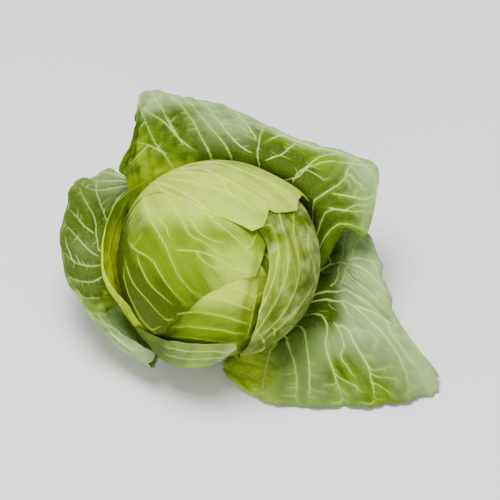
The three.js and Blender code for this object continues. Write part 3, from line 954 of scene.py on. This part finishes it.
def stump_material(tones):
    shader = Shader("cut_stump")
    fibre = shader.noise(3, 5, 1.5)
    spots = shader.ramp(shader.cells(2.4), 0.02, 0.2)
    colour = shader.blend(rgba(tones.cut), rgba(tones.bark), (shader.ramp(fibre, 0.4, 0.75) * 0.7).clamped())
    colour = shader.blend(colour, rgba(tones.bark), (0.35 * (1 - spots)).clamped())
    return shader.finish(colour, 0.6 + 0.2 * fibre, fibre * 0.6 + spots * 0.4, 0.8, {})


def floor_material(tones):
    shader = Shader("studio_floor")
    grain = shader.noise(120, 2)
    colour = shader.blend(rgba(tones.floor), rgba([0.97 * c for c in tones.floor]), grain)
    return shader.finish(colour, 0.9 + 0.02 * grain, grain, 0.01, {"Specular IOR Level": 0.1})


# Settings that a user can change


def colour_property(name, description, default):
    return FloatVectorProperty(
        name=name, description=description, default=default, size=3, min=0.0, max=1.0, subtype="COLOR"
    )


def length_property(name, description, size_mm):
    return FloatProperty(name=name, description=description, default=size_mm * MM, unit="LENGTH")


class CabbagePackedTones(bpy.types.PropertyGroup):
    blade: colour_property("Blade", "Colour of the packed leaves", (0.20, 0.325, 0.001))
    # The shaded blade tone is the greener blade between the veins and also the painted shade laid on by the
    # shade mask
    deep: colour_property("Shaded blade", "Greener patches between the veins", (0.055, 0.092, 0.0005))
    gold: colour_property("Pale crown", "Where the packed leaves are blanched", (0.50, 0.68, 0.045))
    bloom: colour_property("Wax", "Grey wax on the packed leaves", (0.58, 0.72, 0.19))
    vein: colour_property("Veins", "Colour of the veins", (0.74, 0.93, 0.07))


class CabbageCollarTones(bpy.types.PropertyGroup):
    # Partly the collar's own yellow-green, partly painted light: blade and rim are made lighter so that the
    # collar looks lit in the shadow by the ball
    blade: colour_property("Blade", "Colour of the collar leaf", (0.40, 0.55, 0.004))
    # The shaded blade tone is the greener blade between the veins and also the painted shade laid on by the
    # shade mask
    deep: colour_property("Shaded blade", "Greener patches between the veins", (0.20, 0.31, 0.003))
    gold: colour_property("Rim", "Yellow-green of the turned rim", (0.60, 0.78, 0.004))
    bloom: colour_property("Wax", "Grey wax on the leaf", (0.36, 0.46, 0.12))
    vein: colour_property("Veins", "Colour of the veins", (0.52, 0.66, 0.06))


class CabbageWrapperTones(bpy.types.PropertyGroup):
    blade: colour_property("Blade", "Colour of the wrapper leaves", (0.15, 0.26, 0.006))
    # The shaded blade tone is the greener blade between the veins and also the painted shade laid on by the
    # shade mask
    deep: colour_property("Shaded blade", "Deeper green between the veins", (0.05, 0.092, 0.005))
    gold: colour_property("Yellowed blade", "Yellow-green near the foot", (0.50, 0.68, 0.002))
    bloom: colour_property("Wax", "Grey-green wax at rims and folds", (0.40, 0.55, 0.27))
    vein: colour_property("Veins", "Colour of the veins", (0.58, 0.78, 0.19))


class CabbageStageSettings(bpy.types.PropertyGroup):
    floor: colour_property("Floor", "Colour of the studio floor", (0.95, 0.95, 0.95))
    cut: colour_property("Cut stalk", "Colour of the stump's cut face", (0.62, 0.60, 0.34))
    bark: colour_property("Stalk rind", "Colour of the stump's rind and fibres", (0.42, 0.38, 0.16))
    daylight: FloatProperty(
        name="Daylight", description="Strength of the even light", default=0.55, min=0.0, soft_max=3.0
    )
    key_power: FloatProperty(
        name="Key light", description="Power of the large soft lamp", default=42.0, min=0.0, unit="POWER"
    )
    elevation: FloatProperty(
        name="Elevation", description="Camera above the horizon", default=VIEW_ELEVATION, subtype="ANGLE"
    )
    distance: length_property("Distance", "Camera from the ball", VIEW_DISTANCE)


class CabbageLeafSettings(bpy.types.PropertyGroup):
    packed_relief: length_property("Packed veins", "Height of the veins on the packed leaves", 0.6)
    wrapper_relief: length_property("Wrapper veins", "Height of the veins on the wrappers", 1.1)
    wrapper_puff: length_property("Wrapper puff", "Swelling of the blade between veins", 1.0)
    vein_spacing: length_property("Side vein spacing", "Between the wrappers' side veins", 4.8)


# Making the pieces


def make_leaf(name, surface, seeds, cell, blade, slot, material, growth, course=None, **looks):
    """One leaf: its main veins, the side veins grown from them, its mesh, masks and dress."""
    veins = Venation(surface, seeds[0])
    for pixels in VEINS[name]:
        veins.add_course(pixels, *COURSE_WIDTHS[name], **(course or {}))
    veins.grow(**growth)
    piece = leaf_piece(name, surface, cell, blade, veins, seeds[1], **looks)
    dress(piece, name, material)


def dress(piece, node, material):
    piece.data.materials.append(material)
    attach(piece, "root")
    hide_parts(node)


class LeafPlaces:
    """Where each point of a leaf is, in mm and as shares of the leaf, for its masks."""

    def __init__(self, points, veins, up, across, edge):
        self.points = points
        self.x, self.y, self.z = np.moveaxis(points, -1, 0)
        self.high = (points - BALL_CENTRE) @ VIEW_UP
        self.up, self.across, self.edge = up, across, edge
        self.veins = veins

    def rise(self, measure, low, high):
        """From 0 to 1 as x, y, z, high, up, across or edge goes from low to high."""
        return smoothstep(getattr(self, measure), low, high)

    def fall(self, measure, low, high):
        return 1 - self.rise(measure, low, high)

    def near(self, x, y, size):
        """A soft patch, 1 at the point of the leaf that the view shows at pixel (x, y)."""
        u, v = self.veins.place((x, y))
        centre = self.veins.surface(np.array([u]), np.array([v]))[0]
        return np.exp(-(((self.points - centre) ** 2).sum(-1) / size**2))


def crown(leaf):
    """How far a place of the ball is up and right of its shaded lower left, in mm."""
    return 0.75 * leaf.x + 0.66 * leaf.high


def valley_shadow(leaf):
    """Painted shadow in the fold of the right wrapper beside the ball, 1 along its floor."""
    floor = leaf.near(322, 296, 14) + leaf.near(328, 318, 12) + leaf.near(322, 245, 24)
    return np.clip(1.2 * floor, 0, 1)


# Where each leaf is waxy, golden and deep green; the shade is partly painted shade, and some golden and waxy
# spots are painted light
MASKS = {
    "head_leaf_front": dict(
        wax=lambda leaf: 0.3 * leaf.near(232, 300, 16),
        # Paler where the leaf faces up: partly its paler colour, partly painted light
        gold=lambda leaf: leaf.rise("high", -46, -24) * leaf.rise("x", -35, 0),
        # Darker towards the left, with painted shade in a band beside the right leaf's margin
        shade=lambda leaf: 1.0 * leaf.fall("x", -44, -12)
        + 0.8 * leaf.rise("x", 24, 34) * leaf.fall("z", 120, 140),
    ),
    "head_leaf_left": dict(
        wax=lambda leaf: 0.7 * leaf.rise("high", 18, 40) + 0.5 * leaf.near(240, 268, 16),
        # The paler upper part is partly the blanched crown, partly painted light from above
        gold=lambda leaf: 0.85 * leaf.rise("high", 20, 42) * smoothstep(crown(leaf), -36, -8)
        + 0.85 * leaf.near(240, 268, 20),
        # Darker towards the lower left: the leaf's deeper green and painted shade from the collar, with
        # painted shade in the narrow dip by the collar at the far left
        shade=lambda leaf: 0.95 * (1 - smoothstep(crown(leaf), -64, -16))
        + 0.8 * leaf.fall("x", -77, -66),
    ),
    "head_leaf_right": dict(
        wax=lambda leaf: 0.45
        + 0.4 * ripple(leaf.x, leaf.y + leaf.z, 6, 30)
        - 0.4 * leaf.rise("z", 135, 160) - 0.2 * leaf.fall("z", 50, 90),
        gold=lambda leaf: 0.4 * leaf.rise("z", 100, 130) * leaf.fall("z", 135, 155),
        # Painted shade low down, where the leaf faces down, and beside the top leaf's torn edge at the top
        # right; darker also towards the right edge and the top
        shade=lambda leaf: 0.55
        + 0.4 * leaf.rise("x", 52, 75)
        - 0.3 * leaf.rise("z", 80, 120)
        + 0.5 * leaf.rise("z", 135, 155)
        + 0.7 * leaf.near(306, 218, 16)
        + 0.8 * leaf.fall("z", 55, 95),
    ),
    "head_leaf_top": dict(
        wax=lambda leaf: 0.65 + 0.5 * ripple(leaf.x, leaf.y + leaf.z, 7, 40),
        gold=lambda leaf: 0.75 * leaf.rise("z", 100, 145) * (1 - 0.5 * leaf.rise("high", 62, 80)),
        shade=lambda leaf: 0.6 * leaf.fall("z", 60, 110) + 0.3 * leaf.rise("high", 64, 82),
    ),
    "back_wrapper": dict(
        wax=lambda leaf: 1.2 * leaf.rise("up", 0.7, 0.84) * leaf.rise("across", 0.02, 0.1)
        + 1.0 * leaf.near(150, 98, 12)
        + 0.8 * leaf.near(212, 118, 16)
        + 0.7 * leaf.near(240, 128, 12)
        + 0.6 * leaf.rise("across", 0.68, 0.85) * leaf.rise("up", 0.5, 0.7),
        gold=lambda leaf: 1.2 * leaf.rise("up", 0.2, 0.36)
        * leaf.fall("up", 0.4, 0.5) * leaf.fall("across", 0.2, 0.45)
        + 0.3 * leaf.near(142, 150, 14) + 0.6 * leaf.near(152, 172, 10),
        # Painted shade on the lower middle of the leaf, under the fold above it, and on the dark side of the
        # fold right of the middle
        shade=lambda leaf: 0.9 * leaf.rise("across", 0.2, 0.45)
        * leaf.fall("up", 0.48, 0.66) * (1 - 0.6 * leaf.rise("across", 0.7, 0.9))
        + 0.4 * leaf.fall("across", 0.4, 0.7) + 0.7 * leaf.near(276, 162, 16),
    ),
    "right_wrapper": dict(
        # The wax is taken away in the painted shadow of the fold beside the ball
        wax=lambda leaf: (leaf.rise("up", 0.44, 0.6) * (0.3 + 1.0 * leaf.fall("across", 0.35, 0.62))
        + 0.4 * leaf.near(338, 338, 24) - 0.4 * leaf.near(380, 392, 22)
        - 0.6 * leaf.near(342, 368, 12)) * (1 - valley_shadow(leaf)),
        gold=lambda leaf: 0.5 * leaf.rise("across", 0.8, 0.97) * leaf.rise("up", 0.3, 0.5)
        + 0.5 * leaf.near(250, 380, 16) + 0.3 * leaf.near(340, 368, 9),
        # Painted shadow of the ball on the low part of the leaf next to it and in the fold beside it
        shade=lambda leaf: 1.1 * leaf.fall("up", 0.42, 0.58) * leaf.fall("across", 0.72, 0.9)
        + valley_shadow(leaf)
        + 0.6 * leaf.near(342, 368, 12) + 0.5 * leaf.near(380, 392, 24) + 0.3 * leaf.near(318, 388, 16),
    ),
    "left_wrapper": dict(
        # Painted light: the wax spot low by the collar lightens a place that lies in shadow; the wax is
        # taken out in the painted shade of the fold
        wax=lambda leaf: (0.05
        + 1.3 * leaf.fall("across", 0.1, 0.35) * leaf.rise("up", 0.4, 0.6)
        + 0.5 * leaf.rise("across", 0.7, 0.95)
        + 0.2 * leaf.fall("edge", 0.02, 0.25)
        + 0.7 * leaf.near(122, 312, 16) + 0.3 * leaf.near(85, 244, 10)) * (1 - leaf.near(90, 222, 18)),
        # Painted light: the golden spot by the collar's foot lightens the same shaded place
        gold=lambda leaf: 0.3 * leaf.fall("up", 0.3, 0.6) + 0.4 * leaf.near(106, 296, 14),
        # Painted shade in the fold at the upper left
        shade=lambda leaf: 0.8 * leaf.rise("across", 0.25, 0.4) + 2.0 * leaf.near(90, 222, 20),
    ),
    "collar_leaf": dict(
        wax=lambda leaf: 0.5 * leaf.fall("up", 0.3, 0.6),
        # The turned rim's golden tone is partly its own yellow-green, partly painted light on a rim in
        # shadow by the ball; it is darker towards its top and its low front end
        gold=lambda leaf: 0.8 * leaf.rise("up", 0.5, 0.8) * (1 - 0.7 * leaf.rise("high", 15, 45)),
        shade=lambda leaf: 0.4 * leaf.fall("up", 0.4, 0.7)
        + 0.8 * leaf.rise("high", 15, 45) + 0.7 * leaf.fall("high", -40, -8),
    ),
    "front_wrapper": dict(
        wax=lambda leaf: 0.3 * leaf.rise("up", 0.2, 0.6) * leaf.rise("x", -50, -25) + leaf.near(238, 353, 7),
        gold=lambda leaf: 0.25 * leaf.rise("x", -45, -20) + 0.5 * leaf.near(238, 353, 7),
        # Painted shade at the left end, by the dark gap under the ball
        shade=lambda leaf: 0.3 + 0.6 * leaf.fall("x", -55, -35),
    ),
}


# Studio: half the floor's side and each lamp's place and size in metres, with its share of the
# key light's power
FLOOR_REACH = 4.0
LAMPS = {"key_lamp": ((-0.12, -0.2, 1.7), 0.8, 1.0), "fill_lamp": ((-0.2, -1.7, 0.9), 1.2, 0.2)}
LAMPS_AIM = (0, 0, 0.08)


class CABBAGE_OT_stage(bpy.types.Operator):
    """Make the studio floor, the soft lights and the camera"""

    bl_idname = "cabbage.stage"
    bl_label = "Studio"

    def execute(self, context):
        settings = context.scene.cabbage_stage
        signs = np.array([(-1, -1, 0), (1, -1, 0), (1, 1, 0), (-1, 1, 0)])
        corners = signs * FLOOR_REACH / MM
        floor = new_piece("studio_floor", corners, np.array([[0, 1, 2, 3]]), {})
        floor.data.materials.append(floor_material(settings))

        world = bpy.data.worlds.new("studio_daylight")
        world.use_nodes = True
        background = world.node_tree.nodes["Background"]
        background.inputs["Color"].default_value = (1, 1, 1, 1)
        background.inputs["Strength"].default_value = settings.daylight
        context.scene.world = world

        for name, (place, size, share) in LAMPS.items():
            lamp = bpy.data.lights.new(name, "AREA")
            lamp.shape = "DISK"
            lamp.size = size
            lamp.energy = settings.key_power * share
            self.set_up(name, lamp, Vector(place), Vector(LAMPS_AIM) - Vector(place))

        camera = bpy.data.cameras.new("camera")
        camera.sensor_width = 36
        seen = IMAGE_SIDE * MM_PER_PIXEL
        camera.lens = camera.sensor_width * VIEW_DISTANCE / seen
        rise = settings.elevation
        forward = Vector((0, math.cos(rise), -math.sin(rise)))
        up = Vector((0, math.sin(rise), math.cos(rise)))
        half = IMAGE_SIDE / 2
        aim = Vector(BALL_CENTRE * MM)
        aim += Vector((1, 0, 0)) * (half - BALL_PIXEL[0]) * MM_PER_PIXEL * MM
        aim += up * (BALL_PIXEL[1] - half) * MM_PER_PIXEL * MM
        place = aim - forward * settings.distance
        context.scene.camera = self.set_up("camera", camera, place, forward)
        return {"FINISHED"}

    def set_up(self, name, data, place, forward):
        """A lamp or a camera at a place, looking forward."""
        holder = bpy.data.objects.new(name, data)
        holder.location = place
        holder.rotation_euler = forward.to_track_quat("-Z", "Y").to_euler()
        bpy.context.scene.collection.objects.link(holder)
        return holder


class CABBAGE_OT_packed_leaves(bpy.types.Operator):
    """Make the leaves packed round the head"""

    bl_idname = "cabbage.packed_leaves"
    bl_label = "Packed leaves"

    def execute(self, context):
        scene = context.scene
        material = leaf_material(
            "packed_leaf", scene.cabbage_packed, waxy=0.6, patchy=0.8, between=0.3, vein_strength=0.72
        )
        for seed, (name, form) in enumerate(PACKED_LEAVES.items()):
            make_leaf(
                name, packed_surface(**form), (20 + seed, seed), CELL["packed"], PACKED_BLADE,
                "packed_leaf", material, growth=dict(spacing=11, least=10),
                relief=scene.cabbage_leaves.packed_relief / MM, puff=0.35, crinkle=0.15,
                grain=GRAIN.get(name),
            )
        return {"FINISHED"}


class CABBAGE_OT_collar_leaf(bpy.types.Operator):
    """Make the yellow-green leaf round the left of the head"""

    bl_idname = "cabbage.collar_leaf"
    bl_label = "Collar leaf"

    def execute(self, context):
        scene = context.scene
        material = leaf_material(
            "collar_leaf", scene.cabbage_collar, waxy=0.5, patchy=0.5, between=0.2, vein_strength=0.5
        )
        make_leaf(
            "collar_leaf", packed_surface(**COLLAR_LEAF), (31, 31), CELL["collar"], WRAPPER_BLADE,
            "collar_leaf", material, growth=dict(spacing=10), course=dict(to_foot=True),
            relief=scene.cabbage_leaves.packed_relief / MM, puff=-0.3, crinkle=0.3,
        )
        return {"FINISHED"}


class CABBAGE_OT_front_wrapper(bpy.types.Operator):
    """Make the short torn leaf under the front of the head"""

    bl_idname = "cabbage.front_wrapper"
    bl_label = "Front wrapper"

    def execute(self, context):
        scene = context.scene
        material = leaf_material(
            "front_wrapper_leaf", scene.cabbage_wrapper, waxy=0.8, patchy=0.4, between=0.3,
            vein_strength=0.7,
        )
        make_leaf(
            "front_wrapper", packed_surface(**FRONT_WRAPPER), (41, 41), CELL["front"], WRAPPER_BLADE,
            "wrapper_leaf", material, growth=dict(spacing=9),
            relief=scene.cabbage_leaves.packed_relief / MM, puff=-0.3, crinkle=0.2,
        )
        return {"FINISHED"}


class CABBAGE_OT_open_wrappers(bpy.types.Operator):
    """Make the loose wrapper leaves that stand open round the head"""

    bl_idname = "cabbage.open_wrappers"
    bl_label = "Open wrappers"

    def execute(self, context):
        leaves = context.scene.cabbage_leaves
        material = leaf_material(
            "wrapper_leaf", context.scene.cabbage_wrapper, waxy=0.62, patchy=0.15, between=0.4,
            vein_strength=0.85,
        )
        for seed, (name, form) in enumerate(OPEN_WRAPPERS.items(), start=50):
            growth = dict(spacing=leaves.vein_spacing / MM, lowest=GROWN_FROM[name], side=0.46)
            make_leaf(
                name, ruffled(open_surface(**form), **RUFFLES[name]), (seed, seed), CELL["open"],
                WRAPPER_BLADE, "wrapper_leaf", material, growth, course=dict(to_foot=True, to_rim=True),
                relief=leaves.wrapper_relief / MM, puff=leaves.wrapper_puff / MM, crinkle=0.6,
            )
        return {"FINISHED"}


class CABBAGE_OT_heart(bpy.types.Operator):
    """Make the dense ball of packed inner leaves"""

    bl_idname = "cabbage.heart"
    bl_label = "Heart"

    def execute(self, context):
        u, v = np.meshgrid(np.arange(180) / 180, np.linspace(0.002, 0.998, 101))
        azimuth, polar = 2 * math.pi * u, math.pi * v
        out, up = np.sin(polar), -np.cos(polar)
        direction = np.stack([out * np.cos(azimuth), out * np.sin(azimuth), up], -1)
        leaf = u * HEART_FOLDS + HEART_SLANT * up
        share = leaf - np.floor(leaf)
        step = np.sqrt(np.clip(1 - up**2, 0, 1)) * HEART_STEP * share**3
        points = ball_point(HEART_RADIUS - step, direction, HEART_PRESS)
        ribs = np.abs(np.sin(math.pi * HEART_FOLDS * 4 * u + 9 * v + 0.5 * np.sin(7 * v))) ** 24
        # Painted shade: the heart is dark green lower down, where it shows only in the gaps between the
        # leaves, and paler towards its crown
        crown_share = smoothstep(v, 0.6, 0.9)
        masks = {
            "vein": ribs, "gap": 0.7 * share, "streak": 0.5 + 0.5 * ribs,
            "wax": np.full_like(u, 0.2), "gold": 0.5 * crown_share, "shade": 0.9 - 0.6 * crown_share,
        }
        material = leaf_material(
            "heart_leaf", context.scene.cabbage_packed, waxy=0.4, patchy=0.8, between=0.15,
            vein_strength=0.5,
        )
        dress(turned_piece("heart_fine", points, masks), "heart", material)
        return {"FINISHED"}


class CABBAGE_OT_stump(bpy.types.Operator):
    """Make the cut stump"""

    bl_idname = "cabbage.stump"
    bl_label = "Stump"

    def execute(self, context):
        top = HEAD_HEIGHT - HEAD_FLATNESS * HEART_RADIUS - CLEARANCE
        radius = STUMP_RADIUS
        profile = [
            (0.01, 0.25), (3, 0.2), (5, 0.3), (6.5, 0.05), (12.5, 0), (radius - STUMP_CHAMFER, 0),
            (radius - 0.4, 0.4), (radius, STUMP_CHAMFER), (radius - 0.1, 0.35 * top),
            (radius - 0.5, 0.6 * top), (radius - 2, top), (0.01, top),
        ]
        reach, z = (column[:, None] for column in np.array(profile).T)
        turn = np.arange(96) / 96 * 2 * math.pi
        rough = reach - 0.35 * (np.sin(9 * turn + z) * np.sin(4 * turn) ** 2) * (z > 1)
        points = np.stack(np.broadcast_arrays(rough * np.cos(turn), rough * np.sin(turn), z), -1)
        piece = turned_piece("stump_fine", points, {})
        dress(piece, "stump", stump_material(context.scene.cabbage_stage))
        return {"FINISHED"}


SETTINGS = {
    "cabbage_stage": CabbageStageSettings,
    "cabbage_leaves": CabbageLeafSettings,
    "cabbage_packed": CabbagePackedTones,
    "cabbage_collar": CabbageCollarTones,
    "cabbage_wrapper": CabbageWrapperTones,
}

OPERATORS = (
    CABBAGE_OT_stage,
    CABBAGE_OT_stump,
    CABBAGE_OT_heart,
    CABBAGE_OT_packed_leaves,
    CABBAGE_OT_collar_leaf,
    CABBAGE_OT_front_wrapper,
    CABBAGE_OT_open_wrappers,
)


class CABBAGE_PT_panel(bpy.types.Panel):
    """Lists the cabbage's operators and settings"""

    bl_idname = "CABBAGE_PT_panel"
    bl_label = "Cabbage head"
    bl_space_type = "VIEW_3D"
    bl_region_type = "UI"
    bl_category = "Cabbage"

    def draw(self, context):
        for label, group in SETTINGS.items():
            column = self.layout.column(align=True)
            for key in group.__annotations__:
                column.prop(getattr(context.scene, label), key)
        for operator in OPERATORS:
            self.layout.operator(operator.bl_idname)


def register():
    for kind in (*SETTINGS.values(), *OPERATORS, CABBAGE_PT_panel):
        bpy.utils.register_class(kind)
    for label, group in SETTINGS.items():
        setattr(bpy.types.Scene, label, PointerProperty(type=group))


def unregister():
    for label in SETTINGS:
        delattr(bpy.types.Scene, label)
    for kind in reversed((*SETTINGS.values(), *OPERATORS, CABBAGE_PT_panel)):
        bpy.utils.unregister_class(kind)


def main():
    register()
    for operator in OPERATORS:
        name = operator.bl_idname.split(".")[1]
        getattr(bpy.ops.cabbage, name)()


if __name__ == "__main__":
    main()
